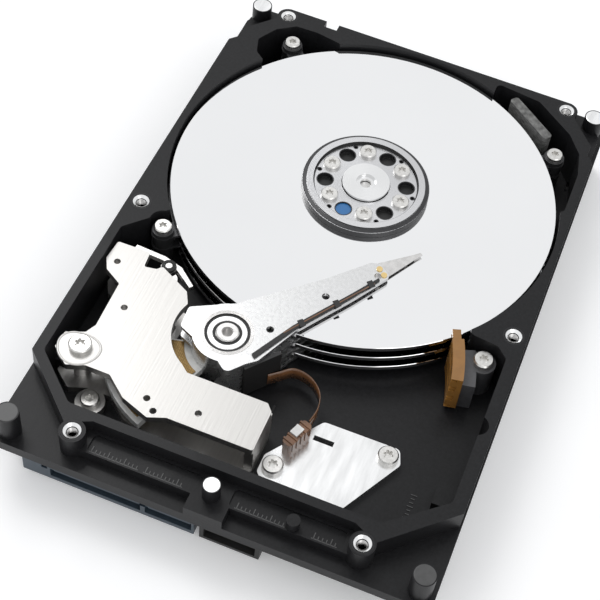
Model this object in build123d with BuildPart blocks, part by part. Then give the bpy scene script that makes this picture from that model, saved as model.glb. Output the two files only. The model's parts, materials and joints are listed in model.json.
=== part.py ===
import os
from math import acos, atan2, cos, degrees, hypot, radians, sin

from build123d import *

os.makedirs("parts", exist_ok=True)

# overall envelope
width = 101.6
length = 147.0

# disc stack
disc_r = 48.0
disc_bore_r = 12.5
disc_t = 1.27
disc_pitch = 3.8
disc_count = 3
under_disc = 2.28

# casting levels
underside_z = 5.0
floor_z = 6.3
over_disc = 1.75
post_rise = 1.0
plateau_drop = 3.5
shelf_drop = 6.3
lip_drop = 9.2

# fits
running = 0.05
disc_gap = 0.7
shank_r = 1.0
side_hole_r = 1.45

# actuator
arm_t = 0.9
beam_t = 0.2
arm_reach = 41.5
tab_reach = 52.4
arm_angle = 51.1
coil_offset = 170.0
trunk_r = 8.0
sleeve_r = 6.1

# voice coil motor
plate_t = 2.0
magnet_t = 1.7
coil_clear = 0.7

kx = width / 101.6
ky = length / 147.0
k = min(kx, ky)
half_w = width / 2
half_l = length / 2
disc_r = disc_r * k
bore_r = disc_bore_r * k
disc_top = floor_z + under_disc + (disc_count - 1) * disc_pitch + disc_t
rim_z = disc_top + over_disc
post_z = rim_z + post_rise
plateau_z = rim_z - plateau_drop
shelf_z = rim_z - shelf_drop
lip_z = rim_z - lip_drop
plate_top = rim_z - 1.6
disc_y = 24.0 * ky
pivot_x = -13.2 * kx
pivot_y = -31.2 * ky
gap_mid = disc_top - disc_t - (disc_pitch - disc_t) / 2

MIN3 = (Align.CENTER, Align.CENTER, Align.MIN)
MAX3 = (Align.CENTER, Align.CENTER, Align.MAX)


def pt(x, y):
    return (x * kx, y * ky)


def polar(reach, angle):
    return (pivot_x + reach * k * cos(radians(angle)), pivot_y + reach * k * sin(radians(angle)))


def outline(points, radius):
    with BuildSketch() as shape:
        with BuildLine():
            Polyline(*[pt(x, y) for x, y in points], close=True)
        make_face()
        if radius:
            fillet(shape.vertices(), radius * k)
    return shape.sketch


def fan(inner, outer, start, end):
    arc_mid = (start + end) / 2
    with BuildSketch() as shape:
        with BuildLine():
            Line(polar(inner, start), polar(outer, start))
            ThreePointArc(polar(outer, start), polar(outer, arc_mid), polar(outer, end))
            Line(polar(outer, end), polar(inner, end))
            ThreePointArc(polar(inner, end), polar(inner, arc_mid), polar(inner, start))
        make_face()
    return shape.sketch


def make_screw(head_r, head_h, shank_l):
    with BuildPart() as screw:
        Cylinder(head_r, head_h, align=MIN3)
        chamfer(screw.edges().group_by(Axis.Z)[-1], head_h * 0.2)
        Cylinder(shank_r, shank_l, align=MAX3)
        with BuildSketch(Plane.XY.offset(head_h)):
            Circle(head_r * 0.34)
            with PolarLocations(head_r * 0.36, 6):
                Circle(head_r * 0.13)
        extrude(amount=-head_h * 0.6, mode=Mode.SUBTRACT)
    return screw.part


def save(part, name):
    part.label = name
    export_step(part, f"parts/{name}.step")


# positions in plan
side_hole_y = [-45.0 * ky, 56.6 * ky]
bottom_hole_y = [-32.22 * ky, 43.98 * ky]
bottom_hole_x = 47.625 * kx
cover_holes = [pt(x * s, y) for x, y in [(33.0, -68.0), (47.1, -4.8), (39.45, 70.6)] for s in (-1, 1)]
separator_spots = [pt(-35.3, 63.7), pt(-39.8, -8.2), pt(40.7, 55.8)]
vcm_spot = pt(-41.7, -47.2)
yoke_spot = pt(-36.3, -54.1)
bracket_spots = [pt(7.4, -52.8), pt(30.1, -40.2)]
ramp_spot = polar(58.9, 19.0)
pcb_spots = [pt(-38.0, -56.0), pt(38.0, -56.0), pt(-39.0, 2.0), pt(39.0, 2.0)]
latch_x, latch_y = pt(-34.0, -17.3)

rim_half = [
    (0, -64.2), (30, -64.2), (35.5, -66.8), (50.4, -53), (50.4, 55.5),
    (48.6, 57.5), (48.6, 61), (42.6, 68), (40, 73.5), (0, 73.5),
]
bay = [
    (-48, -13.8), (-48, -52), (-37, -62), (35, -62), (47.3, -51.5),
    (47.3, -11.6), (44.5, -9.0), (38, -8.4), (30, 10), (-30, 10), (-42.6, -8),
]
rear_left = [(-20, 60), (-23, 67), (-30, 68.2), (-36, 68), (-40.5, 64.5), (-43.4, 59), (-42, 54.5), (-30, 45)]
rear_right = [
    (20, 60), (20, 71.8), (32, 70.4), (36, 67.4), (42.5, 62.5), (46.5, 57), (48, 50), (48, 36), (30, 40),
]
shoulder = [(38, 66), (49.8, 55), (49.8, 67), (46, 73.2), (38, 73.2)]

# base casting
with BuildPart() as base_casting:
    with BuildSketch():
        with Locations((0, 4.75 * ky)):
            RectangleRounded(width, length - 9.5 * ky, 2.0)
    extrude(amount=shelf_z)
    with BuildSketch(Plane.XY.offset(lip_z)):
        with Locations((0, -half_l + 8 * ky)):
            Rectangle(width, 16 * ky)
    extrude(amount=shelf_z - lip_z)
    chamfer(base_casting.edges().filter_by(Axis.Z).sort_by(Axis.Y)[:2], 2.6 * k)
    for side in (-1, 1):
        with BuildSketch(Plane.XY.offset(shelf_z)):
            with BuildLine():
                Polyline(*[pt(side * x, y) for x, y in rim_half], close=True)
            make_face()
        extrude(amount=rim_z - shelf_z)
        with BuildSketch(Plane.XY.offset(shelf_z)):
            with BuildLine():
                Polyline(*[pt(side * x, y) for x, y in shoulder], close=True)
            make_face()
        extrude(amount=plateau_drop)
    with BuildSketch(Plane.XY.offset(shelf_z)):
        with Locations(pt(0, -66.4)):
            Rectangle(66 * kx, 6.8 * ky)
        with Locations(pt(-0.4, -69.2)):
            Rectangle(8.8 * kx, 2 * (half_l - 69.2 * ky))
    extrude(amount=plateau_z - shelf_z)
    with BuildSketch(Plane.XY.offset(shelf_z)):
        with Locations(cover_holes[0], cover_holes[1], cover_holes[4], cover_holes[5]):
            Circle(2.9 * k)
    extrude(amount=rim_z - shelf_z)
    with BuildSketch(Plane.XY.offset(shelf_z)):
        with Locations(pt(-47.2, -70.0), pt(47.2, -70.0), pt(-47.0, 70.4), pt(47.0, 70.4)):
            Circle(2.6 * k)
        with Locations(pt(-0.6, -68.5)):
            Circle(2.0 * k)
    extrude(amount=post_z - shelf_z)
    with Locations((17.8 * kx, -68.2 * ky, plateau_z)):
        Cylinder(1.5 * k, 2.4, align=MIN3)
    # two shallow trays in the plateau
    for side in (-1, 1):
        with BuildSketch(Plane.XY.offset(plateau_z)):
            with Locations(pt(side * 16.4, -67.2)):
                RectangleRounded(25.6 * kx, 4.4 * ky, 1.0 * k)
        extrude(amount=-0.5, mode=Mode.SUBTRACT)
    # disc well and actuator bay
    with BuildSketch(Plane.XY.offset(floor_z)):
        with Locations((0, disc_y)):
            Circle(disc_r + disc_gap)
        add(outline(bay, 1.5))
        add(outline(rear_left, 1.2))
        add(outline(rear_right, 1.2))
        with Locations(*separator_spots):
            Circle(3.3 * k)
    extrude(amount=post_z, mode=Mode.SUBTRACT)
    # bosses behind the side screw holes
    for x, depth in ((-47.2, 3.2), (45.6, 5.6)):
        with Locations((x * kx, side_hole_y[0], floor_z - 0.2)):
            Box(depth * kx, 6.0 * ky, 3.6, align=MIN3)
    with Locations((0, disc_y, floor_z - 0.2)):
        Cylinder(6.4 * k, 1.6, align=MIN3)
    # electronics bay below the floor, open at the connector end
    with BuildSketch():
        with Locations((0, 2.0 * ky)):
            Rectangle(88.8 * kx, length - 14 * ky)
        with Locations((0, disc_y)):
            Circle(16.5 * k, mode=Mode.SUBTRACT)
    extrude(amount=underside_z, mode=Mode.SUBTRACT)
    with BuildSketch():
        with Locations((0, -half_l + 9.4 * ky)):
            Rectangle(90 * kx, 14 * ky)
    extrude(amount=underside_z, mode=Mode.SUBTRACT)
    with BuildSketch():
        with Locations((-15.8 * kx, -67.6 * ky)):
            Rectangle(57.6 * kx, 10.8 * ky)
    extrude(amount=underside_z + 1.2, mode=Mode.SUBTRACT)
    with Locations((0, disc_y, 0)):
        Cylinder(16.5 * k, 2.2, align=MIN3, mode=Mode.SUBTRACT)
    # mounting and fixing holes
    for side in (-1, 1):
        for y in side_hole_y:
            with Locations(Location((side * half_w, y, 6.35), (0, side * 90, 0))):
                Cylinder(side_hole_r, 8.2 if y < 0 else 10.0, mode=Mode.SUBTRACT)
        for y in bottom_hole_y:
            with Locations((side * bottom_hole_x, y, 0)):
                Cylinder(side_hole_r, 4.2, align=MIN3, mode=Mode.SUBTRACT)
    for spot in cover_holes:
        with Locations((*spot, rim_z)):
            CounterSinkHole(1.15, 1.9, depth=5.5)
    for spot in separator_spots + [ramp_spot, vcm_spot, yoke_spot] + bracket_spots + pcb_spots:
        with Locations((*spot, underside_z)):
            Cylinder(shank_r, floor_z + 2, align=MIN3, mode=Mode.SUBTRACT)
    with Locations((0, disc_y, 0)):
        Cylinder(2.5 * k, post_z, align=MIN3, mode=Mode.SUBTRACT)
    with Locations((pivot_x, pivot_y, underside_z)):
        Cylinder(2.6 * k, post_z, align=MIN3, mode=Mode.SUBTRACT)
    with Locations((latch_x, latch_y, underside_z)):
        Cylinder(0.8, post_z, align=MIN3, mode=Mode.SUBTRACT)
    # notch in the rear edge, and the round relief in the right wall
    with Locations(pt(-27.6, 73.5)):
        Box(3.6 * kx, 4.4 * ky, 2 * post_z, mode=Mode.SUBTRACT)
    with Locations((46.4 * kx, -31.0 * ky, floor_z + 5.4)):
        Cylinder(2.6 * k, post_z, align=MIN3, mode=Mode.SUBTRACT)
save(base_casting.part, "base_casting")

# spindle motor
hub_low = floor_z + 0.7
disc_low = floor_z + under_disc
cap_z = disc_top - 3.2
clamp_top = disc_top + 2.45

with BuildPart() as spindle_shaft:
    with Locations((0, disc_y, 3.0)):
        Cylinder(2.5 * k, disc_top - 2.2, align=MIN3)
    fillet(spindle_shaft.edges().group_by(Axis.Z)[-1], 0.3)
save(spindle_shaft.part, "spindle_shaft")

core_z = floor_z + 1.4
core_h = 3.4
with BuildPart() as stator_core:
    with BuildSketch(Plane.XY.offset(core_z)):
        with Locations((0, disc_y)):
            Circle(6.0 * k)
            with PolarLocations(7.2 * k, 9):
                Rectangle(3.2 * k, 1.1 * k)
            with PolarLocations(8.75 * k, 9):
                Rectangle(0.7 * k, 3.6 * k)
            Circle(4.5 * k, mode=Mode.SUBTRACT)
    extrude(amount=core_h)
save(stator_core.part, "stator_core")

with BuildPart() as stator_coils:
    with BuildSketch(Plane.XY.offset(core_z - 0.6)):
        with Locations((0, disc_y)):
            with PolarLocations(7.35 * k, 9):
                Rectangle(1.9 * k, 2.4 * k)
    extrude(amount=core_h + 1.2)
    add(stator_core.part, mode=Mode.SUBTRACT)
save(stator_coils.part, "stator_coils")

with BuildPart() as spindle_hub:
    with BuildSketch(Plane.XZ.offset(-disc_y)):
        with BuildLine():
            Polyline(
                (2.5 * k + running, floor_z + 1.8),
                (4.0 * k, floor_z + 1.8),
                (4.0 * k, cap_z),
                (10.9 * k, cap_z),
                (10.9 * k, hub_low),
                (bore_r + 2.5 * k, hub_low),
                (bore_r + 2.5 * k, disc_low),
                (bore_r, disc_low),
                (bore_r, disc_top - 0.2),
                (5.9 * k, disc_top - 0.2),
                (5.9 * k, clamp_top - 0.1),
                (2.5 * k, clamp_top - 0.1),
                (2.5 * k, clamp_top - 0.8),
                (1.4 * k, clamp_top - 0.8),
                (1.4 * k, disc_top + 1.0),
                (2.5 * k + running, disc_top + 1.0),
                close=True,
            )
        make_face()
    revolve(axis=Axis((0, disc_y, 0), (0, 0, 1)))
    with Locations((0, disc_y, disc_top)):
        with PolarLocations(10.1 * k, 6, start_angle=107.1):
            Cylinder(shank_r, 3.0, align=MAX3, mode=Mode.SUBTRACT)
save(spindle_hub.part, "spindle_hub")

with BuildPart() as rotor_magnet:
    with BuildSketch(Plane.XY.offset(floor_z + 1.2)):
        with Locations((0, disc_y)):
            Circle(10.9 * k)
            Circle(9.7 * k, mode=Mode.SUBTRACT)
    extrude(amount=cap_z - floor_z - 1.4)
save(rotor_magnet.part, "rotor_magnet")

for index in range(disc_count):
    with BuildPart() as platter:
        with BuildSketch(Plane.XY.offset(disc_low + index * disc_pitch)):
            with Locations((0, disc_y)):
                Circle(disc_r)
                Circle(bore_r, mode=Mode.SUBTRACT)
        extrude(amount=disc_t)
        chamfer(platter.edges().filter_by(GeomType.CIRCLE).sort_by(SortBy.RADIUS)[-2:], 0.1)
    save(platter.part, f"platter_{index + 1}")
    if index < disc_count - 1:
        with BuildPart() as spacer:
            with BuildSketch(Plane.XY.offset(disc_low + index * disc_pitch + disc_t)):
                with Locations((0, disc_y)):
                    Circle(bore_r + 2.6 * k)
                    Circle(bore_r, mode=Mode.SUBTRACT)
            extrude(amount=disc_pitch - disc_t)
        save(spacer.part, f"disc_spacer_{index + 1}")

plate_z = clamp_top - 0.9
with BuildPart() as disc_clamp:
    with BuildSketch(Plane.XZ.offset(-disc_y)):
        with BuildLine():
            Polyline(
                (6.1 * k, disc_top),
                (15.8 * k, disc_top),
                (15.8 * k, clamp_top - 0.7),
                (14.7 * k, clamp_top - 0.4),
                (14.7 * k, clamp_top),
                (13.1 * k, clamp_top),
                (12.9 * k, plate_z),
                (6.1 * k, plate_z),
                close=True,
            )
        make_face()
    revolve(axis=Axis((0, disc_y, 0), (0, 0, 1)))
    with Locations((0, disc_y, disc_top)):
        with PolarLocations(10.1 * k, 6, start_angle=107.1):
            Cylinder(shank_r, 5.0, align=MIN3, mode=Mode.SUBTRACT)
        with PolarLocations(10.1 * k, 6, start_angle=137.1):
            Cylinder(2.0 * k, 5.0, align=MIN3, mode=Mode.SUBTRACT)
        with PolarLocations(12.1 * k, 6, start_angle=122.1):
            Cylinder(0.45 * k, 5.0, align=MIN3, mode=Mode.SUBTRACT)
save(disc_clamp.part, "disc_clamp")

clamp_screw = make_screw(2.1 * k, 1.0, 3.8)
with BuildPart() as clamp_screws:
    with Locations((0, disc_y, plate_z)):
        with PolarLocations(10.1 * k, 6, start_angle=107.1):
            add(clamp_screw)
save(clamp_screws.part, "clamp_screws")

with BuildPart() as balance_plug:
    with Locations((0, disc_y, disc_top)):
        with PolarLocations(10.1 * k, 1, start_angle=257.1):
            Cylinder(2.0 * k, 1.2, align=MIN3)
save(balance_plug.part, "balance_plug")

# disc separators, held at three screws
span_start = 39.0
span_end = 217.0
spacing_mid = disc_pitch / 2 + disc_t / 2
for index in range(disc_count - 1):
    sheet_z = disc_low + index * disc_pitch + spacing_mid - 0.4
    post_low = floor_z if index == 0 else disc_low + (index - 1) * disc_pitch + spacing_mid + 0.4
    post_high = sheet_z + 0.8 if index < disc_count - 2 else disc_top - 1.0
    with BuildPart() as separator:
        with BuildSketch(Plane.XY.offset(sheet_z)):
            with Locations((0, disc_y)):
                Circle(disc_r + 0.3)
                Circle(bore_r + 8 * k, mode=Mode.SUBTRACT)
            with BuildLine(mode=Mode.PRIVATE) as wedge:
                Polyline(
                    (0, disc_y),
                    *[(120 * k * cos(radians(a)), disc_y + 120 * k * sin(radians(a)))
                      for a in (span_end, 265, 320, 360, span_start)],
                    close=True,
                )
            add(make_face(wedge.edges(), mode=Mode.PRIVATE), mode=Mode.SUBTRACT)
            for x, y in separator_spots:
                with Locations((x, y)):
                    Circle(2.8 * k)
                with BuildLine():
                    Line((x, y), (x * 0.86, disc_y + (y - disc_y) * 0.86))
                trace(line_width=4.4 * k)
        extrude(amount=0.8)
        for spot in separator_spots:
            with Locations((*spot, post_low)):
                Cylinder(2.6 * k, post_high - post_low, align=MIN3)
        for spot in separator_spots:
            with Locations((*spot, 0)):
                Cylinder(shank_r, post_z, align=MIN3, mode=Mode.SUBTRACT)
    save(separator.part, f"separator_plate_{index + 1}")

separator_screw = make_screw(2.1 * k, 1.3, disc_top - 1.0 - underside_z)
with BuildPart() as separator_screws:
    for spot in separator_spots:
        with Locations((*spot, disc_top - 1.0)):
            add(separator_screw)
save(separator_screws.part, "separator_screws")

with BuildPart() as recirculation_filter:
    with Locations(Location((31.4 * kx, 65.2 * ky, floor_z), (0, 0, -37.5))):
        Box(15.6 * k, 2.6 * k, rim_z - floor_z - 1.4, align=MIN3)
    fillet(recirculation_filter.edges().filter_by(Axis.Z), 0.8 * k)
save(recirculation_filter.part, "recirculation_filter")

# voice coil motor
plate_points = [
    (-47.2, -17.0), (-39.0, -16.8), (-38.6, -21.2), (-35.6, -20.6), (-34.6, -19.4), (-26.6, -23.6),
    (-25.0, -26.6), (-25.8, -31.0), (-25.2, -34.8), (-20.6, -41.2), (-17.4, -43.8), (2.0, -43.8),
    (3.6, -45.6), (3.6, -56.2), (-16.6, -56.2), (-20.6, -57.8), (-27.4, -55.4), (-32.6, -51.2),
    (-38.4, -51.2), (-42.6, -52.8), (-46.8, -49.4), (-46.6, -45.0), (-42.4, -43.2), (-41.2, -40.6),
    (-41.6, -28.0), (-46.0, -25.4), (-47.6, -22.4),
]
plate_holes = [pt(-44.8, -22.4), pt(-37.6, -33.6), pt(-22.6, -53.4), pt(-10.8, -52.4), pt(-20.0, -55.8)]
with BuildPart() as vcm_top_plate:
    with BuildSketch(Plane.XY.offset(plate_top - plate_t)):
        add(outline(plate_points, 0.6))
        with Locations((pivot_x, pivot_y)):
            Circle(12.6 * k, mode=Mode.SUBTRACT)
        with Locations(*plate_holes):
            Circle(0.8 * k, mode=Mode.SUBTRACT)
        with Locations(vcm_spot):
            Circle(shank_r, mode=Mode.SUBTRACT)
    extrude(amount=plate_t)
    with Locations((2.6 * kx, -50.2 * ky, floor_z + plate_t)):
        Box(2.0 * kx, 10.8 * ky, plate_top - floor_z - 2 * plate_t + 0.2, align=MIN3)
save(vcm_top_plate.part, "vcm_top_plate")

with BuildPart() as vcm_bottom_plate:
    with BuildSketch(Plane.XY.offset(floor_z)):
        add(outline(plate_points, 0.6))
        with Locations(yoke_spot):
            Circle(3.4 * k)
        with Locations((pivot_x, pivot_y)):
            Circle(12.6 * k, mode=Mode.SUBTRACT)
        with Locations((-47.2 * kx, side_hole_y[0])):
            Rectangle(4.0 * kx, 6.8 * ky, mode=Mode.SUBTRACT)
        with Locations(vcm_spot, yoke_spot):
            Circle(shank_r, mode=Mode.SUBTRACT)
        with Locations((latch_x, latch_y)):
            Circle(2.4 * k, mode=Mode.SUBTRACT)
    extrude(amount=plate_t)
save(vcm_bottom_plate.part, "vcm_bottom_plate")

magnet_low = floor_z + plate_t
magnet_high = plate_top - plate_t - magnet_t
for name, z in (("vcm_magnet_lower", magnet_low), ("vcm_magnet_upper", magnet_high)):
    with BuildPart() as magnet:
        with BuildSketch(Plane.XY.offset(z)):
            add(fan(13.6, 26.4, 169, 244))
        extrude(amount=magnet_t)
        fillet(magnet.edges().filter_by(Axis.Z), 1.2 * k)
    save(magnet.part, name)

post_spots = [pt(-44.6, -20.6), vcm_spot]
with BuildPart() as vcm_posts:
    for spot in post_spots:
        with Locations((*spot, floor_z + plate_t)):
            Cylinder(1.9 * k, plate_top - floor_z - 2 * plate_t, align=MIN3)
    with Locations((*vcm_spot, 0)):
        Cylinder(shank_r, post_z, align=MIN3, mode=Mode.SUBTRACT)
save(vcm_posts.part, "vcm_posts")

vcm_screw = make_screw(2.6 * k, 1.5, plate_top - underside_z)
yoke_screw = make_screw(2.2 * k, 1.4, floor_z + plate_t - underside_z)
with BuildPart() as vcm_screws:
    with Locations((*vcm_spot, plate_top)):
        add(vcm_screw)
    with Locations((*yoke_spot, floor_z + plate_t)):
        add(yoke_screw)
save(vcm_screws.part, "vcm_screws")

# actuator
coil_low = magnet_low + magnet_t + coil_clear
coil_t = magnet_high - coil_low - coil_clear
coil_mid = arm_angle + coil_offset
arm_low = gap_mid - arm_t / 2 - (disc_count - 1) * disc_pitch
arm_tops = [arm_low + arm_t + index * disc_pitch for index in range(disc_count + 1)]

with BuildPart() as pivot_shaft:
    with Locations((pivot_x, pivot_y, underside_z)):
        Cylinder(2.6 * k, rim_z - underside_z, align=MIN3)
    with Locations((pivot_x, pivot_y, rim_z)):
        Cylinder(1.2 * k, 2.4, align=MAX3, mode=Mode.SUBTRACT)
    with Locations((pivot_x, pivot_y, floor_z)):
        Cylinder(4.4 * k, 0.4, align=MIN3)
save(pivot_shaft.part, "pivot_shaft")

with BuildPart() as pivot_bearings:
    for z in (floor_z + 0.8, rim_z - 3.4):
        with BuildSketch(Plane.XY.offset(z)):
            with Locations((pivot_x, pivot_y)):
                Circle(5.2 * k)
                Circle(2.6 * k, mode=Mode.SUBTRACT)
        extrude(amount=2.8)
save(pivot_bearings.part, "pivot_bearings")

with BuildPart() as pivot_sleeve:
    with BuildSketch(Plane.XY.offset(floor_z + 0.6)):
        with Locations((pivot_x, pivot_y)):
            Circle(sleeve_r * k)
            Circle(5.2 * k + running, mode=Mode.SUBTRACT)
    extrude(amount=rim_z - floor_z - 0.6)
save(pivot_sleeve.part, "pivot_sleeve")

pivot_plane = Plane(origin=(pivot_x, pivot_y, 0), x_dir=(cos(radians(arm_angle)), sin(radians(arm_angle)), 0))


def arm_sketch():
    with BuildSketch() as shape:
        with BuildLine():
            Polyline(
                (-4.5 * k, 10.2 * k), (5.6 * k, 6.2 * k), (28.0 * k, 3.2 * k), (39.6 * k, 2.6 * k),
                (arm_reach * k, 1.2 * k), (arm_reach * k, -3.0 * k), (30.0 * k, -4.8 * k),
                (14.0 * k, -6.6 * k), (2.5 * k, -9.8 * k), (-4.6 * k, -8.6 * k), (-8.6 * k, 6.4 * k),
                close=True,
            )
        make_face()
        fillet(shape.vertices(), 1.0 * k)
        with Locations((39.0 * k, -1.6 * k), (25.0 * k, -1.2 * k), (9.0 * k, -3.6 * k)):
            Circle(0.9 * k, mode=Mode.SUBTRACT)
        Circle(sleeve_r * k, mode=Mode.SUBTRACT)
    return shape.sketch


with BuildPart() as e_block:
    for top in arm_tops:
        with BuildSketch(pivot_plane.offset(top - arm_t)):
            add(arm_sketch())
        extrude(amount=arm_t)
    with BuildSketch(pivot_plane.offset(arm_low)):
        Circle(trunk_r * k)
        with Locations(((-1.0 * k, -5.8 * k))):
            RectangleRounded(9.0 * k, 7.0 * k, 1.5 * k)
        Circle(sleeve_r * k, mode=Mode.SUBTRACT)
    extrude(amount=arm_tops[-1] - arm_low)
save(e_block.part, "e_block")

with BuildPart() as coil_frame:
    with BuildSketch(Plane.XY.offset(coil_low + 0.3)):
        add(fan(7.6, 28.2, coil_mid - 29, coil_mid + 29))
        with Locations((pivot_x, pivot_y)):
            Circle(trunk_r * k, mode=Mode.SUBTRACT)
        add(fan(9.6, 27.0, coil_mid - 26, coil_mid + 26), mode=Mode.SUBTRACT)
    extrude(amount=coil_t - 0.6)
    add(e_block.part, mode=Mode.SUBTRACT)
save(coil_frame.part, "coil_frame")

with BuildPart() as voice_coil:
    with BuildSketch(Plane.XY.offset(coil_low)):
        add(fan(9.6, 27.0, coil_mid - 26, coil_mid + 26))
        add(fan(15.4, 23.2, coil_mid - 14, coil_mid + 14), mode=Mode.SUBTRACT)
    extrude(amount=coil_t)
    add(e_block.part, mode=Mode.SUBTRACT)
save(voice_coil.part, "voice_coil")

with BuildPart() as crash_stop_bumper:
    with Locations(((*polar(10.4, -72.0), coil_low))):
        Cylinder(1.8 * k, arm_tops[-2] - arm_t - coil_low - 0.4, align=MIN3)
    add(e_block.part, mode=Mode.SUBTRACT)
    add(coil_frame.part, mode=Mode.SUBTRACT)
save(crash_stop_bumper.part, "crash_stop_bumper")

beam_levels = []
for index in range(disc_count):
    beam_levels.append((arm_tops[index], 1))
    beam_levels.append((arm_tops[index + 1] - arm_t, -1))

with BuildPart() as suspensions:
    for level, way in beam_levels:
        with BuildSketch(pivot_plane.offset(level)):
            with BuildLine():
                Polyline(
                    (37.6 * k, 2.2 * k), (41.8 * k, 2.2 * k), (50.6 * k, 0.6 * k),
                    (tab_reach * k, 0.4 * k), (tab_reach * k, -0.4 * k),
                    (50.6 * k, -0.6 * k), (41.8 * k, -2.2 * k), (37.6 * k, -2.2 * k),
                    close=True,
                )
            make_face()
        extrude(amount=way * beam_t)
save(suspensions.part, "suspensions")

slider_t = (disc_pitch - disc_t) / 2 - arm_t / 2 - beam_t - 0.18
with BuildPart() as head_sliders:
    for level, way in beam_levels:
        with BuildSketch(pivot_plane.offset(level + way * beam_t)):
            with Locations((49.6 * k, 0)):
                Rectangle(1.25 * k, 1.0 * k)
        extrude(amount=way * slider_t)
save(head_sliders.part, "head_sliders")

with BuildPart() as swage_bosses:
    with BuildSketch(pivot_plane.offset(arm_tops[-1])):
        with Locations((40.4 * k, 0), (40.4 * k, -2.0 * k)):
            Circle(0.75 * k)
    extrude(amount=0.25)
save(swage_bosses.part, "swage_bosses")

with BuildPart() as preamp_flex:
    with BuildSketch(pivot_plane.offset(arm_low + 0.6)):
        with Locations((3.8 * k, -9.7 * k)):
            Rectangle(9.4 * k, 0.9 * k)
    extrude(amount=arm_tops[-1] - arm_low - 1.4)
    add(e_block.part, mode=Mode.SUBTRACT)
save(preamp_flex.part, "preamp_flex")

with BuildPart() as head_flex:
    with BuildSketch(pivot_plane.offset(arm_tops[-1])):
        with BuildLine():
            Polyline(
                (2.0 * k, -9.0 * k), (14.0 * k, -6.2 * k), (30.0 * k, -4.4 * k), (38.6 * k, -3.0 * k),
                (38.6 * k, -2.4 * k), (30.0 * k, -3.5 * k), (14.0 * k, -5.2 * k), (2.0 * k, -7.8 * k),
                close=True,
            )
        make_face()
    extrude(amount=0.5)
save(head_flex.part, "head_flex")

# head ramp: one slot for each lift tab
centre_reach = hypot(pivot_x, disc_y - pivot_y)
centre_angle = degrees(atan2(disc_y - pivot_y, -pivot_x))
ramp_near = 51.4 * k
edge_cos = (centre_reach**2 + ramp_near**2 - (disc_r + 0.5) ** 2) / (2 * centre_reach * ramp_near)
ramp_to = centre_angle - degrees(acos(edge_cos)) - 0.7
ramp_from = ramp_to - 12.3
with BuildPart() as ramp:
    with BuildSketch(Plane.XY.offset(arm_tops[0] - 0.4)):
        add(fan(51.4, 54.2, ramp_from, ramp_to))
    extrude(amount=arm_tops[-1] - arm_tops[0] + 0.1)
    for level, way in beam_levels:
        with BuildSketch(Plane.XY.offset(level - 0.35)):
            add(fan(51.0, 53.0, ramp_from - 1, ramp_to + 1))
        extrude(amount=0.35 * 2 + way * 0.1, mode=Mode.SUBTRACT)
save(ramp.part, "ramp")

with BuildPart() as ramp_bracket:
    with BuildSketch(Plane.XY.offset(floor_z)):
        add(fan(54.2, 57.4, ramp_from + 1.5, ramp_to - 0.6))
        with Locations(ramp_spot):
            Circle(3.1 * k)
            Circle(shank_r, mode=Mode.SUBTRACT)
    extrude(amount=disc_top - 2.2 - floor_z)
save(ramp_bracket.part, "ramp_bracket")

ramp_head = make_screw(2.4 * k, 1.6, disc_top - 2.2 - underside_z)
with BuildPart() as ramp_screw:
    with Locations((*ramp_spot, disc_top - 2.2)):
        add(ramp_head)
save(ramp_screw.part, "ramp_screw")

# inertia latch
latch_z = magnet_high
with BuildPart() as latch_pin:
    with Locations((latch_x, latch_y, underside_z)):
        Cylinder(0.8, latch_z + 2.0 - underside_z, align=MIN3)
    with Locations((latch_x, latch_y, floor_z)):
        Cylinder(2.0 * k, coil_low - floor_z, align=MIN3)
save(latch_pin.part, "latch_pin")

with BuildPart() as inertia_latch:
    with BuildSketch(Plane.XY.offset(latch_z)):
        with BuildLine():
            Polyline(
                pt(-43.6, -14.4), pt(-36.0, -14.8), pt(-31.2, -16.2), pt(-26.6, -20.0),
                pt(-27.2, -20.8), pt(-31.8, -17.4), pt(-36.2, -16.0), pt(-43.6, -15.6),
                close=True,
            )
        make_face()
        with Locations((latch_x, latch_y)):
            Circle(1.9 * k)
            Circle(0.8 + running, mode=Mode.SUBTRACT)
    extrude(amount=1.4)
save(inertia_latch.part, "inertia_latch")

# flex circuit to the actuator
bracket_z = floor_z + 1.6
with BuildPart() as flex_bracket:
    with BuildSketch(Plane.XY.offset(floor_z)):
        add(outline([(4.6, -55.2), (4.6, -50.6), (13.8, -37.4), (32.0, -37.2), (33.4, -41.0), (24.6, -57.4),
                     (7.0, -57.4)], 1.4))
        with Locations(pt(15.4, -42.1)):
            Rectangle(4.8 * kx, 1.3 * ky, mode=Mode.SUBTRACT)
        with Locations(*bracket_spots):
            Circle(shank_r, mode=Mode.SUBTRACT)
    extrude(amount=1.6)
save(flex_bracket.part, "flex_bracket")

bracket_screw = make_screw(2.4 * k, 1.4, bracket_z - underside_z)
with BuildPart() as flex_bracket_screws:
    for spot in bracket_spots:
        with Locations((*spot, bracket_z)):
            add(bracket_screw)
save(flex_bracket_screws.part, "flex_bracket_screws")

with BuildPart() as flex_support:
    with Locations(Location((9.9 * kx, -45.2 * ky, bracket_z), (0, 0, -20))):
        Box(2.6 * k, 7.6 * k, 4.4, align=MIN3)
    fillet(flex_support.edges().filter_by(Axis.Z), 0.8 * k)
save(flex_support.part, "flex_support")

ribbon_z = bracket_z + 0.4
with BuildPart() as flex_ribbon:
    with BuildSketch(Plane.XY.offset(ribbon_z)):
        with BuildLine():
            Spline(polar(11.5, -12.0), pt(3.6, -29.4), pt(8.6, -31.2), pt(11.6, -36.4), pt(11.2, -40.4),
                   tangents=[(0.9, 0.6), (-0.35, -0.9)])
        trace(line_width=0.2)
    extrude(amount=4.0)
save(flex_ribbon.part, "flex_ribbon")

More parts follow.
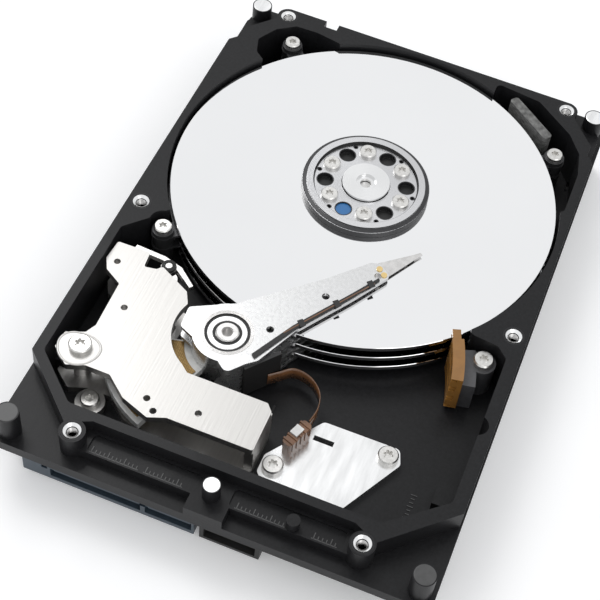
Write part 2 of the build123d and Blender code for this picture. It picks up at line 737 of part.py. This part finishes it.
# electronics under the floor
board_z = 3.6
board_t = 1.0
with BuildPart() as pcb:
    with BuildSketch(Plane.XY.offset(board_z)):
        add(outline([(-43.6, 6.4), (-20, 6.4), (-14, 4.0), (14, 4.0), (20, 6.4), (43.6, 6.4),
                     (43.6, -66.0), (13.4, -66.0), (13.4, -62.2), (-43.6, -62.2)], 0))
        with Locations(*pcb_spots):
            Circle(shank_r, mode=Mode.SUBTRACT)
    extrude(amount=board_t)
save(pcb.part, "pcb")

with BuildPart() as insulator_pad:
    with BuildSketch(Plane.XY.offset(board_z + board_t)):
        with Locations(pt(0, -26)):
            RectangleRounded(62 * kx, 40 * ky, 3 * k)
    extrude(amount=underside_z - board_z - board_t)
save(insulator_pad.part, "insulator_pad")

pcb_screw = make_screw(2.0 * k, 0.8, underside_z - board_z + 1.2)
with BuildPart() as pcb_screws:
    for spot in pcb_spots:
        with Locations(Location((*spot, board_z), (180, 0, 0))):
            add(pcb_screw)
save(pcb_screws.part, "pcb_screws")

for name, spot, size, height in (
    ("controller_chip", pt(6, -34), (14.0, 14.0), 1.2),
    ("memory_chip", pt(-14, -40), (10.0, 6.0), 1.0),
    ("motor_driver_chip", pt(22, -14), (8.0, 8.0), 1.0),
):
    with BuildPart() as chip:
        with Locations((*spot, board_z)):
            Box(size[0] * k, size[1] * k, height, align=MAX3)
        chamfer(chip.edges().group_by(Axis.Z)[0], 0.15)
    save(chip.part, name)

face_y = -half_l + 2.1
shell_back = -62.2 * ky
shell_low = 1.0
shell_high = 6.2
with BuildPart() as sata_connector:
    with Locations(Location((-23.6 * kx, shell_back, shell_low))):
        Box(41 * kx, shell_back - face_y, shell_high - shell_low,
            align=(Align.CENTER, Align.MAX, Align.MIN))
    for x, size in ((-26.6, 21.6), (-9.2, 11.0)):
        with Locations((x * kx, face_y, shell_low + 1.3)):
            Box(size * kx, 7.0, shell_high - shell_low - 2.2,
                align=(Align.CENTER, Align.MIN, Align.MIN), mode=Mode.SUBTRACT)
    with Locations((-15.2 * kx, face_y, shell_high)):
        Box(1.4 * kx, 3.2, 1.6, align=(Align.CENTER, Align.MIN, Align.MAX), mode=Mode.SUBTRACT)
    with Locations((-38.8 * kx, face_y, shell_high)):
        Box(1.4 * kx, 3.2, 1.6, align=(Align.CENTER, Align.MIN, Align.MAX), mode=Mode.SUBTRACT)
    for x, size in ((-26.6, 20.6), (-9.2, 10.0)):
        with Locations((x * kx, face_y + 0.6, shell_low + 2.6)):
            Box(size * kx, 6.4, 1.2, align=(Align.CENTER, Align.MIN, Align.MIN))
save(sata_connector.part, "sata_connector")

with BuildPart() as sata_contacts:
    for x, count in ((-26.6, 15), (-9.2, 7)):
        with Locations((x * kx, face_y + 1.0, shell_low + 2.6)):
            with GridLocations(1.27 * kx, 1, count, 1):
                Box(0.8 * kx, 5.6, 0.3, align=(Align.CENTER, Align.MIN, Align.MAX))
save(sata_contacts.part, "sata_contacts")

with BuildPart() as jumper_block:
    with Locations((5.2 * kx, shell_back, shell_low)):
        Box(14 * kx, shell_back - face_y, shell_high - shell_low,
            align=(Align.CENTER, Align.MAX, Align.MIN))
    with Locations((5.2 * kx, face_y, shell_low + 0.9)):
        Box(12 * kx, 6.4, shell_high - shell_low - 1.8,
            align=(Align.CENTER, Align.MIN, Align.MIN), mode=Mode.SUBTRACT)
save(jumper_block.part, "jumper_block")

with BuildPart() as jumper_pins:
    with Locations((5.2 * kx, face_y + 1.0, shell_low + 2.6)):
        with GridLocations(2.0 * kx, 1, 5, 1):
            Box(0.5 * kx, 5.4, 0.5, align=(Align.CENTER, Align.MIN, Align.CENTER))
save(jumper_pins.part, "jumper_pins")
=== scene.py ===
import json
import math

import bpy
from mathutils import Matrix, Vector


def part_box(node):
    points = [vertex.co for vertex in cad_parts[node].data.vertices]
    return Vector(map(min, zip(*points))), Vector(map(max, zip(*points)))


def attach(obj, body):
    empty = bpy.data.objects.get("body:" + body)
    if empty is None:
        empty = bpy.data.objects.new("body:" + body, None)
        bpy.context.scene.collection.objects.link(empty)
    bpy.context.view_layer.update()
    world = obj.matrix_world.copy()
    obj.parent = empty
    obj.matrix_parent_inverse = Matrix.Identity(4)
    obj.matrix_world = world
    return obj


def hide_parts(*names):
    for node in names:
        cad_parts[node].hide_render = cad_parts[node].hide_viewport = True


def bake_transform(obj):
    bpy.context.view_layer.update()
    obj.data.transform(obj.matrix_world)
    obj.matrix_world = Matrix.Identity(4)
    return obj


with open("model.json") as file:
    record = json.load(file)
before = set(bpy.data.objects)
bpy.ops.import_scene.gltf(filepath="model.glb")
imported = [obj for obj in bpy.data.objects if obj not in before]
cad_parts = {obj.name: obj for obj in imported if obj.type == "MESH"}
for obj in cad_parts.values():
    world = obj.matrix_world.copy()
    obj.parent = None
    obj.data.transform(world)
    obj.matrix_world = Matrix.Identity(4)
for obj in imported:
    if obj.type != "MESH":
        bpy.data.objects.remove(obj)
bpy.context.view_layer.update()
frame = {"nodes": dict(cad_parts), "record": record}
nodes = frame["nodes"]
MM = 0.001


def shader(name, color, metallic=0.0, rough=0.5, coat=0.0, spec=0.5):
    mat = bpy.data.materials.new(name)
    mat.use_nodes = True
    bsdf = mat.node_tree.nodes["Principled BSDF"]
    bsdf.inputs["Base Color"].default_value = (*color, 1)
    bsdf.inputs["Metallic"].default_value = metallic
    bsdf.inputs["Roughness"].default_value = rough
    bsdf.inputs["Coat Weight"].default_value = coat
    bsdf.inputs["Specular IOR Level"].default_value = spec
    return mat, mat.node_tree, bsdf


def coords(tree, scale):
    where = tree.nodes.new("ShaderNodeTexCoord")
    mapping = tree.nodes.new("ShaderNodeMapping")
    mapping.inputs["Scale"].default_value = scale
    tree.links.new(where.outputs["Object"], mapping.inputs["Vector"])
    return mapping.outputs["Vector"]


def grain(mat, tree, bsdf, scale, bump, rough, tint, detail=6.0):
    """Noise that varies colour, roughness and height together."""
    noise = tree.nodes.new("ShaderNodeTexNoise")
    noise.inputs["Scale"].default_value = 1.0
    noise.inputs["Detail"].default_value = detail
    tree.links.new(coords(tree, scale), noise.inputs["Vector"])
    spread = tree.nodes.new("ShaderNodeMapRange")
    spread.inputs["To Min"].default_value = rough[0]
    spread.inputs["To Max"].default_value = rough[1]
    tree.links.new(noise.outputs["Fac"], spread.inputs["Value"])
    tree.links.new(spread.outputs["Result"], bsdf.inputs["Roughness"])
    ramp = tree.nodes.new("ShaderNodeValToRGB")
    ramp.color_ramp.elements[0].position = 0.3
    ramp.color_ramp.elements[1].position = 0.7
    ramp.color_ramp.elements[0].color = (*tint[0], 1)
    ramp.color_ramp.elements[1].color = (*tint[1], 1)
    tree.links.new(noise.outputs["Fac"], ramp.inputs["Fac"])
    tree.links.new(ramp.outputs["Color"], bsdf.inputs["Base Color"])
    rise = tree.nodes.new("ShaderNodeBump")
    rise.inputs["Strength"].default_value = bump
    rise.inputs["Distance"].default_value = 0.0002
    tree.links.new(noise.outputs["Fac"], rise.inputs["Height"])
    tree.links.new(rise.outputs["Normal"], bsdf.inputs["Normal"])
    return mat


def grained(name, color, metallic, rough, scale, bump, vary=0.12, coat=0.0, detail=6.0, spec=0.5):
    mat, tree, bsdf = shader(name, color, metallic, rough, coat, spec)
    low = tuple(c * (1 - vary) for c in color)
    high = tuple(min(1.0, c * (1 + vary)) for c in color)
    return grain(mat, tree, bsdf, scale, bump, (rough * 0.85, min(1.0, rough * 1.15)), (low, high), detail)


def turned(name, color, rough, pitch, centre):
    """Lathe-turned metal: fine rings round a centre."""
    mat, tree, bsdf = shader(name, color, 1.0, rough)
    wave = tree.nodes.new("ShaderNodeTexWave")
    wave.wave_type = "RINGS"
    wave.rings_direction = "Z"
    wave.inputs["Scale"].default_value = pitch
    wave.inputs["Distortion"].default_value = 0.6
    mapping = tree.nodes.new("ShaderNodeMapping")
    mapping.inputs["Location"].default_value = (-centre[0], -centre[1], 0)
    where = tree.nodes.new("ShaderNodeTexCoord")
    tree.links.new(where.outputs["Object"], mapping.inputs["Vector"])
    tree.links.new(mapping.outputs["Vector"], wave.inputs["Vector"])
    rise = tree.nodes.new("ShaderNodeBump")
    rise.inputs["Strength"].default_value = 0.12
    rise.inputs["Distance"].default_value = 0.0001
    tree.links.new(wave.outputs["Fac"], rise.inputs["Height"])
    tree.links.new(rise.outputs["Normal"], bsdf.inputs["Normal"])
    bsdf.inputs["Anisotropic"].default_value = 0.5
    return mat


def woven(name):
    """Windings seen through golden tape: a fine two-way weave."""
    mat, tree, bsdf = shader(name, (0.42, 0.25, 0.08), 0.55, 0.38)
    brick = tree.nodes.new("ShaderNodeTexBrick")
    brick.inputs["Color1"].default_value = (0.5, 0.33, 0.12, 1)
    brick.inputs["Color2"].default_value = (0.38, 0.24, 0.08, 1)
    brick.inputs["Mortar"].default_value = (0.12, 0.07, 0.02, 1)
    brick.inputs["Scale"].default_value = 1.0
    brick.inputs["Mortar Size"].default_value = 0.06
    brick.inputs["Brick Width"].default_value = 0.5
    brick.inputs["Row Height"].default_value = 0.25
    tree.links.new(coords(tree, (900, 900, 900)), brick.inputs["Vector"])
    tree.links.new(brick.outputs["Color"], bsdf.inputs["Base Color"])
    rise = tree.nodes.new("ShaderNodeBump")
    rise.inputs["Strength"].default_value = 0.5
    rise.inputs["Distance"].default_value = 0.0001
    tree.links.new(brick.outputs["Fac"], rise.inputs["Height"])
    tree.links.new(rise.outputs["Normal"], bsdf.inputs["Normal"])
    return mat


def circuit(name):
    """Dark green solder mask with copper tracks under it."""
    mat, tree, bsdf = shader(name, (0.01, 0.06, 0.04), 0.0, 0.3, 0.3)
    brick = tree.nodes.new("ShaderNodeTexBrick")
    brick.inputs["Color1"].default_value = (0.008, 0.05, 0.035, 1)
    brick.inputs["Color2"].default_value = (0.01, 0.065, 0.045, 1)
    brick.inputs["Mortar"].default_value = (0.02, 0.13, 0.08, 1)
    brick.inputs["Scale"].default_value = 1.0
    brick.inputs["Mortar Size"].default_value = 0.03
    tree.links.new(coords(tree, (420, 420, 420)), brick.inputs["Vector"])
    tree.links.new(brick.outputs["Color"], bsdf.inputs["Base Color"])
    return mat


disc_low, disc_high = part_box("disc_clamp")
disc_c = ((disc_low[0] + disc_high[0]) / 2, (disc_low[1] + disc_high[1]) / 2)
pivot_low, pivot_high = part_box("pivot_sleeve")
pivot_c = ((pivot_low[0] + pivot_high[0]) / 2, (pivot_low[1] + pivot_high[1]) / 2)

black = grained("black_coat", (0.01, 0.01, 0.011), 0.0, 0.4, (1500, 1500, 1500), 0.12, 0.25, 0.03, spec=0.22)
black_deep = grained("black_deep", (0.014, 0.014, 0.015), 0.0, 0.45, (900, 900, 900), 0.1, 0.3, spec=0.3)
tick_mat = grained("tick", (0.07, 0.07, 0.07), 0.1, 0.4, (900, 900, 900), 0.05)
steel = grained("steel", (0.62, 0.61, 0.6), 1.0, 0.28, (700, 700, 200), 0.04)
screw_mat = grained("screw_steel", (0.66, 0.65, 0.63), 1.0, 0.3, (1600, 1600, 400), 0.1)
bright = grained("bright_metal", (0.86, 0.86, 0.86), 1.0, 0.22, (500, 90, 90), 0.03)
plate = grained("brushed_plate", (0.5, 0.49, 0.475), 0.95, 0.38, (2600, 60, 60), 0.12, 0.05)
mirror = grained("disc_mirror", (0.9, 0.9, 0.905), 1.0, 0.035, (30, 30, 30), 0.0, 0.01)
clamp = turned("clamp_turned", (0.6, 0.6, 0.61), 0.26, 900.0, disc_c)
hub_face = turned("hub_turned", (0.8, 0.8, 0.8), 0.2, 700.0, disc_c)
sleeve = turned("sleeve_turned", (0.5, 0.49, 0.48), 0.24, 1400.0, pivot_c)
arm = grained("arm_metal", (0.66, 0.66, 0.66), 0.95, 0.28, (1200, 1200, 1200), 0.06, 0.04)
brass = grained("brass", (0.75, 0.56, 0.26), 1.0, 0.25, (900, 900, 900), 0.05)
amber = grained("amber_plastic", (0.3, 0.14, 0.03), 0.0, 0.3, (400, 400, 400), 0.04, 0.1, 0.3)
grey_plastic = grained("grey_plastic", (0.09, 0.09, 0.095), 0.0, 0.45, (800, 800, 800), 0.08)
white_plastic = grained("white_plastic", (0.75, 0.75, 0.73), 0.0, 0.4, (500, 500, 500), 0.05)
brown = grained("flex_film", (0.17, 0.075, 0.03), 0.0, 0.28, (300, 300, 60), 0.06, 0.25, 0.5)
fibre = grained("filter_fibre", (0.16, 0.16, 0.155), 0.0, 0.95, (700, 700, 2200), 1.0, 0.5, 0.0, 12.0)
blue = grained("blue_plug", (0.02, 0.16, 0.42), 0.0, 0.3, (400, 400, 400), 0.05, 0.1, 0.4)
rubber = grained("rubber", (0.012, 0.012, 0.012), 0.0, 0.55, (900, 900, 900), 0.1)
shell = grained("plug_shell", (0.035, 0.052, 0.07), 0.0, 0.4, (700, 700, 700), 0.05)
gold = grained("contact_gold", (0.83, 0.62, 0.25), 1.0, 0.2, (900, 900, 900), 0.03)
chip_mat = grained("chip", (0.025, 0.025, 0.026), 0.0, 0.6, (1800, 1800, 1800), 0.25)
magnet = grained("nickel", (0.6, 0.6, 0.6), 1.0, 0.15, (200, 200, 200), 0.03)
dark_metal = grained("dark_metal", (0.05, 0.05, 0.052), 0.6, 0.4, (700, 700, 200), 0.04)
coil = woven("coil_weave")
board = circuit("circuit_board")

LOOKS = {
    "casting": black, "board": board, "chip": chip_mat, "connector": shell, "contact": gold,
    "plastic_black": rubber, "screw_steel": screw_mat, "pad": rubber, "core": steel, "copper": coil,
    "steel": steel, "plate": plate, "magnet": magnet, "amber": amber, "plastic_grey": grey_plastic,
    "bright": bright, "plastic_brown": brown, "flex": brown, "fibre": fibre, "mirror": mirror,
    "machined": arm, "blue": blue, "plastic_white": white_plastic, "rubber": rubber, "slider": chip_mat,
    "brass": brass,
}
slot_of = {s["node"]: s["material_slot"] for s in frame["record"]["subparts"]}
OWN = {"disc_clamp": clamp, "pivot_sleeve": sleeve, "spindle_hub": hub_face, "inertia_latch": steel,
       "ramp_bracket": grey_plastic, "head_flex": rubber, "vcm_bottom_plate": plate,
       "preamp_flex": rubber, "separator_plate_1": dark_metal, "separator_plate_2": dark_metal}
for name, obj in nodes.items():
    look = OWN.get(name, LOOKS[slot_of[name]])
    for index in range(len(obj.material_slots)):
        obj.material_slots[index].material = look
    if not obj.material_slots:
        obj.data.materials.append(look)


def mesh_piece(name, verts, faces, mat, body, smooth=False):
    data = bpy.data.meshes.new(name)
    data.from_pydata([Vector(v) * MM for v in verts], [], faces)
    data.materials.append(mat)
    data.update()
    obj = bpy.data.objects.new(name, data)
    bpy.context.scene.collection.objects.link(obj)
    if smooth:
        data.polygons.foreach_set("use_smooth", [True] * len(data.polygons))
    if body:
        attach(obj, body)
    return obj


def lathe(name, centre, profile, mat, body, steps=64):
    """A closed (radius, height) profile turned round a vertical axis; millimetres."""
    verts = []
    faces = []
    count = len(profile)
    for s in range(steps):
        a = 2 * math.pi * s / steps
        verts += [(centre[0] + r * math.cos(a), centre[1] + r * math.sin(a), z) for r, z in profile]
    for s in range(steps):
        n = (s + 1) % steps
        for i in range(count):
            j = (i + 1) % count
            faces.append((s * count + i, n * count + i, n * count + j, s * count + j))
    return mesh_piece(name, verts, faces, mat, body)


def bar(name, centre, size, angle, mat, body):
    c, s = math.cos(math.radians(angle)), math.sin(math.radians(angle))
    verts = []
    for dz in (0, 1):
        for dx, dy in ((-1, -1), (1, -1), (1, 1), (-1, 1)):
            x, y = dx * size[0] / 2, dy * size[1] / 2
            verts.append((centre[0] + x * c - y * s, centre[1] + x * s + y * c, centre[2] + dz * size[2]))
    faces = [(3, 2, 1, 0), (4, 5, 6, 7), (0, 1, 5, 4), (1, 2, 6, 5), (2, 3, 7, 6), (3, 0, 4, 7)]
    return mesh_piece(name, verts, faces, mat, body)


RIM = 19.2
POST = 20.2
PLATE_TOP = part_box("vcm_top_plate")[1][2] / MM
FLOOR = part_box("flex_bracket")[0][2] / MM
BASE = "base"

# machined rings round the cover-screw holes, and bright datum faces
for mount in frame["record"]["mounts"]:
    if not mount["name"].startswith("cover_screws"):
        continue
    half = mount["dims"]["spacing_x_mm"] / 2
    y = mount["pos_m"][1] / MM
    for side in (-1, 1):
        tag = f"{mount['name']}_{'l' if side < 0 else 'r'}"
        at = (side * half, y)
        lathe(f"{tag}_seat", at, [(1.9, RIM - 0.02), (1.95, RIM + 0.04), (1.5, RIM - 0.3), (1.3, RIM - 0.5)],
              bright, BASE)
        lathe(f"{tag}_ring", at, [(2.55, RIM), (2.5, RIM + 0.05), (2.15, RIM + 0.05), (2.1, RIM)],
              black_deep, BASE)
        for turn in range(4):
            z = RIM - 1.0 - turn * 0.5
            lathe(f"{tag}_thread_{turn}", at, [(1.15, z), (0.98, z + 0.16), (1.15, z + 0.32)],
                  steel, BASE, 32)
for index, (at, r, mat) in enumerate((
        ((-0.6, -68.5), 1.85, bright), ((-47.0, 70.4), 2.4, bright), ((47.0, 70.4), 2.4, bright),
        ((-47.2, -70.0), 2.4, tick_mat), ((47.2, -70.0), 2.4, tick_mat))):
    lathe(f"datum_face_{index}", at,
          [(0, POST - 0.02), (0, POST + 0.05), (r - 0.15, POST + 0.05), (r, POST - 0.02)],
          mat, BASE)

# plain tick marks on the front plateau and on the bay floor
PLATEAU = RIM - 3.5 - 0.5
for run, (x0, count, gap, y) in enumerate((
        (-28.2, 12, 0.95, -68.6), (-15.6, 10, 0.9, -68.6), (5.4, 12, 0.95, -68.6), (22.8, 6, 0.95, -68.6))):
    bar(f"tick_base_{run}", (x0 + (count - 1) * gap / 2, y - 0.5, PLATEAU), (count * gap, 0.22, 0.14), 0,
        tick_mat, BASE)
    for i in range(count):
        tall = 1.5 if i % 4 == 0 else 0.9
        bar(f"tick_{run}_{i}", (x0 + i * gap, y - 0.5 + tall / 2, PLATEAU), (0.2, tall, 0.14), 0,
            tick_mat, BASE)
for i in range(10):
    bar(f"floor_tick_{i}", (38.6, -55.0 + i * 1.0, FLOOR), (0.9 if i % 3 else 1.4, 0.2, 0.15), 0,
        tick_mat, BASE)
bar("floor_groove", (1.6, -46.0, FLOOR), (0.5, 18.0, 0.1), 0, rubber, BASE)

# embossed oval on the voice coil motor's top plate
vcm_x, vcm_y = -41.9, -47.6
ring = []
for i in range(48):
    a = 2 * math.pi * i / 48
    ring.append((vcm_x + 4.9 * math.cos(a), vcm_y + 4.2 * math.sin(a) + 0.35 * math.cos(2 * a)))
verts = []
faces = []
for i, (x, y) in enumerate(ring):
    dx, dy = (x - vcm_x) * 0.06, (y - vcm_y) * 0.06
    verts += [(x - dx, y - dy, PLATE_TOP), (x, y, PLATE_TOP + 0.22), (x + dx, y + dy, PLATE_TOP)]
    n = (i + 1) % len(ring)
    faces += [(i * 3, n * 3, n * 3 + 1, i * 3 + 1), (i * 3 + 1, n * 3 + 1, n * 3 + 2, i * 3 + 2)]
mesh_piece("plate_emboss", verts, faces, plate, BASE, True)

# pivot cap: stepped rings round a driver recess
px, py = pivot_c[0] / MM, pivot_c[1] / MM
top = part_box("pivot_sleeve")[1][2] / MM
lathe("pivot_seal", (px, py), [(5.15, top - 0.6), (5.15, top - 0.25), (2.7, top - 0.25), (2.7, top - 0.6)],
      rubber, BASE)
lathe("pivot_shield", (px, py), [(4.6, top - 0.24), (4.5, top - 0.1), (3.4, top - 0.1), (3.3, top - 0.24)],
      bright, BASE)
lathe("pivot_cap", (px, py), [(2.55, top), (2.4, top + 0.25), (1.35, top + 0.25), (1.25, top)],
      steel, BASE)

# latch hub cap
latch_low, latch_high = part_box("latch_pin")
lx, ly = (latch_low[0] + latch_high[0]) / 2 / MM, (latch_low[1] + latch_high[1]) / 2 / MM
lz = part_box("inertia_latch")[1][2] / MM
lathe("latch_cap", (lx, ly), [(0.9, lz), (0.9, lz + 0.8), (1.7, lz + 0.6), (1.8, lz + 0.02)],
      rubber, "latch")

# upper ramp finger that reaches over the disc edge
disc_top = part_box("platter_3")[1][2] / MM
bar("ramp_finger", (34.9, -9.8, disc_top + 0.9), (2.0, 3.4, 0.4), 20, amber, BASE)

# painted shade on the turned clamp: a black groove ring, a dark bevelled band and a dark side wall, then
# dark hole linings with lips and black wells under the holes
dx, dy = disc_c[0] / MM, disc_c[1] / MM
clamp_z = disc_high[2] / MM
# black ring in the groove: painted shade in the recess
lathe("clamp_groove_painted_shade", (dx, dy), [(12.95, clamp_z - 0.85), (13.05, clamp_z - 0.02), (12.75, clamp_z - 0.85)],
      rubber, "spindle", 96)
# dark metal band on the bevel: painted shade
lathe("clamp_band_painted_shade", (dx, dy), [(15.82, clamp_z - 0.72), (15.6, clamp_z - 0.6), (14.75, clamp_z - 0.36),
                               (14.75, clamp_z - 0.5)], dark_metal, "spindle", 96)
# dark metal side wall of the clamp: painted shadow
lathe("clamp_skirt_painted_shade", (dx, dy), [(15.86, disc_top + 0.05), (15.86, clamp_z - 0.9), (15.8, clamp_z - 0.9),
                                (15.8, disc_top + 0.05)], dark_metal, "spindle", 96)
for i in range(6):
    for j, (turn, r_at) in enumerate(((137.1, 10.1), (122.1, 12.1))):
        a = math.radians(turn + i * 60)
        at = (dx + r_at * math.cos(a), dy + r_at * math.sin(a))
        r_hole = 2.0 if j == 0 else 0.45
        z_rim = clamp_z - 0.9
        # dark metal linings inside the holes: painted shade in the recesses
        lathe(f"clamp_hole_{j}_{i}", at,
              [(r_hole + 0.2, z_rim), (r_hole + 0.05, z_rim + 0.04), (r_hole - 0.05, z_rim),
               (r_hole - 0.02, z_rim - 1.2), (r_hole + 0.02, z_rim - 1.2)],
              dark_metal, "spindle", 32)
        if j == 0 and i != 2:
            # black discs at the bottom of five holes: painted shade where the disc shows through
            lathe(f"clamp_well_painted_shade_{i}", at,
                  [(0, disc_top + 0.02), (0, disc_top + 0.1), (1.95, disc_top + 0.1),
                   (1.95, disc_top + 0.02)],
                  rubber, "spindle", 32)

# clips that hold the head wires to the arm
arm_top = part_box("head_flex")[1][2] / MM
ux, uy = math.cos(math.radians(51.1)), math.sin(math.radians(51.1))
for i, (along, across) in enumerate(((16.0, -5.6), (26.0, -4.5), (36.0, -3.2))):
    bar(f"wire_clip_{i}", (px + along * ux - across * uy, py + along * uy + across * ux, arm_top),
        (1.4, 1.9, 0.25), 51.1 - 5, rubber, "actuator")
bar("wire_trace", (px + 24.0 * ux + 4.7 * uy, py + 24.0 * uy - 4.7 * ux, arm_top), (26.0, 0.3, 0.06), 57.0,
    brown, "actuator")

# ribs on the flex support, and the clear clip
sup_low, sup_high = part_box("flex_support")
sx, sy, sz = (sup_low[0] + sup_high[0]) / 2 / MM, (sup_low[1] + sup_high[1]) / 2 / MM, sup_high[2] / MM
sin20, cos20 = math.sin(math.radians(20)), math.cos(math.radians(20))
for i in range(5):
    d = -2.8 + i * 1.4
    bar(f"support_rib_{i}", (sx + d * sin20, sy + d * cos20, sz - 3.0), (3.0, 0.45, 3.3), -20, brown, BASE)
bar("support_clip", (sx - 0.2, sy + 0.4, sz + 0.1), (2.0, 2.6, 0.5), -20,
    white_plastic, BASE)

# flex ribbon: a standing film loop that bends between the arm and the bracket
keys = [(11.2, -41.2), (11.7, -37.2), (10.6, -33.2), (7.2, -30.2), (3.0, -29.6), (0.2, -31.8), (-1.9, -33.6)]


def spline(points, steps):
    out = []
    padded = [points[0]] + points + [points[-1]]
    for i in range(1, len(padded) - 2):
        p0, p1, p2, p3 = padded[i - 1:i + 3]
        for s in range(steps):
            t = s / steps
            out.append(tuple(
                0.5 * (2 * b + (c - a) * t + (2 * a - 5 * b + 4 * c - d) * t * t
                       + (3 * b - a - 3 * c + d) * t ** 3)
                for a, b, c, d in zip(p0, p1, p2, p3)))
    out.append(points[-1])
    return out


rib_low, rib_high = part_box("flex_ribbon")
z0, z1 = rib_low[2] / MM, rib_high[2] / MM
path = spline(keys, 10)
verts = []
faces = []
for i, (x, y) in enumerate(path):
    a = path[max(0, i - 1)]
    b = path[min(len(path) - 1, i + 1)]
    run = math.hypot(b[0] - a[0], b[1] - a[1])
    nx, ny = -(b[1] - a[1]) / run * 0.09, (b[0] - a[0]) / run * 0.09
    verts += [(x + nx, y + ny, z0), (x + nx, y + ny, z1), (x - nx, y - ny, z1), (x - nx, y - ny, z0)]
    if i:
        o, p = (i - 1) * 4, i * 4
        faces += [(o + j, p + j, p + (j + 1) % 4, o + (j + 1) % 4) for j in range(4)]
faces += [(3, 2, 1, 0), tuple(len(verts) - 4 + j for j in range(4))]
ribbon = mesh_piece("flex_ribbon_film", verts, faces, brown, None, True)
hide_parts("flex_ribbon")
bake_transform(ribbon)

# floor, light and camera
bpy.ops.mesh.primitive_plane_add(size=6.0, location=(0, 0, -0.0002))
ground = bpy.context.object
ground.name = "floor"
paper = grained("paper", (0.97, 0.97, 0.97), 0.0, 0.75, (40, 40, 40), 0.02, 0.01)
paper_bsdf = paper.node_tree.nodes["Principled BSDF"]
paper_bsdf.inputs["Emission Color"].default_value = (1, 1, 1, 1)
paper_bsdf.inputs["Emission Strength"].default_value = 0.16
ground.data.materials.append(paper)

world = bpy.data.worlds.new("studio")
bpy.context.scene.world = world
world.use_nodes = True
sky = world.node_tree.nodes["Background"]
sky.inputs["Color"].default_value = (0.98, 0.99, 1.0, 1)
sky.inputs["Strength"].default_value = 0.95
soft = world.node_tree.nodes.new("ShaderNodeBackground")
soft.inputs["Color"].default_value = (0.97, 0.98, 1.0, 1)
soft.inputs["Strength"].default_value = 0.74
rays = world.node_tree.nodes.new("ShaderNodeLightPath")
blend_sky = world.node_tree.nodes.new("ShaderNodeMixShader")
world.node_tree.links.new(rays.outputs["Is Diffuse Ray"], blend_sky.inputs["Fac"])
world.node_tree.links.new(sky.outputs["Background"], blend_sky.inputs[1])
world.node_tree.links.new(soft.outputs["Background"], blend_sky.inputs[2])
sky_end = world.node_tree.nodes["World Output"]
world.node_tree.links.new(blend_sky.outputs["Shader"], sky_end.inputs["Surface"])


def area(name, location, size, power):
    light = bpy.data.lights.new(name, "AREA")
    light.shape = "RECTANGLE"
    light.size = size[0]
    light.size_y = size[1]
    light.energy = power
    lamp = bpy.data.objects.new(name, light)
    lamp.location = location
    lamp.rotation_euler = (Vector((0, 0, 0)) - Vector(location)).to_track_quat("-Z", "Y").to_euler()
    bpy.context.scene.collection.objects.link(lamp)


area("key", (-0.45, 0.35, 0.8), (0.4, 0.4), 2.2)
area("fill", (0.6, -0.5, 0.6), (0.5, 0.5), 1.0)

cam_data = bpy.data.cameras.new("camera")
cam_data.lens = 86.4
cam_data.sensor_width = 36.0
cam_data.shift_x = -0.0863
cam_data.shift_y = -0.0558
cam_data.clip_start = 0.01
camera = bpy.data.objects.new("camera", cam_data)
camera.matrix_world = Matrix((
    (0.9318, -0.3367, 0.1353, 0.0518),
    (0.3477, 0.7221, -0.5979, -0.2047),
    (0.1036, 0.6042, 0.7900, 0.2873),
    (0, 0, 0, 1),
))
bpy.context.scene.collection.objects.link(camera)
bpy.context.scene.camera = camera
bpy.context.scene.view_settings.view_transform = "Standard"
